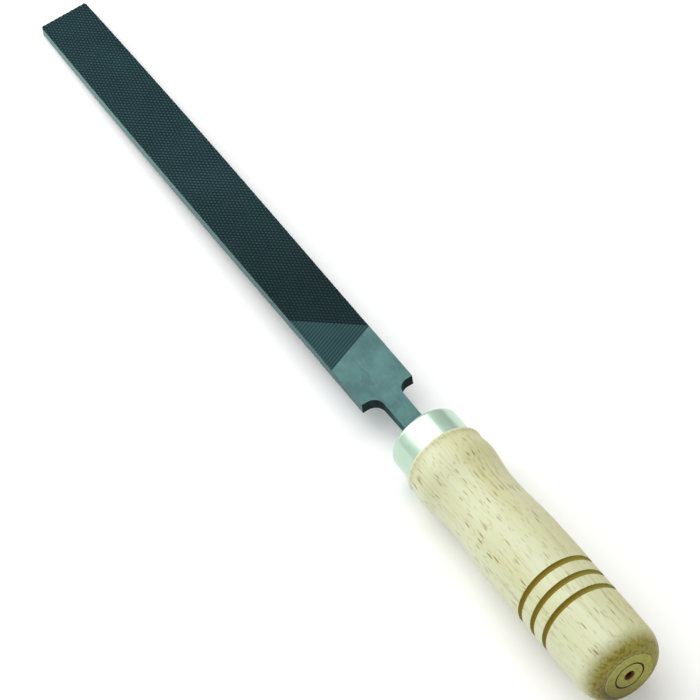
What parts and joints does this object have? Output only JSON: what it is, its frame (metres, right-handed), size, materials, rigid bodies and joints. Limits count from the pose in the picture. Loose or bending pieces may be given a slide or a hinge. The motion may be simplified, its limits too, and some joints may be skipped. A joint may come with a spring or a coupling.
{
  "type": "flat file",
  "caption": "Flat double-cut metalworking file with a plain heel and tang, set in a turned wooden handle with a metal ferrule and decorative grooves.",
  "frame": {"origin": "middle of the tool's overall box, on the tool's axis", "axes": "+X along the tool towards the file's tip, +Z square to the cutting face, +Y across the blade towards the safe edge"},
  "size_m": [0.337, 0.029, 0.029],
  "materials": {
    "file_steel": "hardened file steel, dark grey-green",
    "ferrule_metal": "bright plated, softly polished",
    "handle_wood": "pale hardwood under satin varnish"
  },
  "bodies": {
    "handle_body": {"handle": "handle_wood", "ferrule": "ferrule_metal"},
    "blade_body": {"file_blade": "file_steel"}
  },
  "joints": [
    {"name": "blade_pull", "type": "slide", "parent": "handle_body", "child": "blade_body", "axis": [1, 0, 0], "range_m": [0, 0.05]}
  ]
}
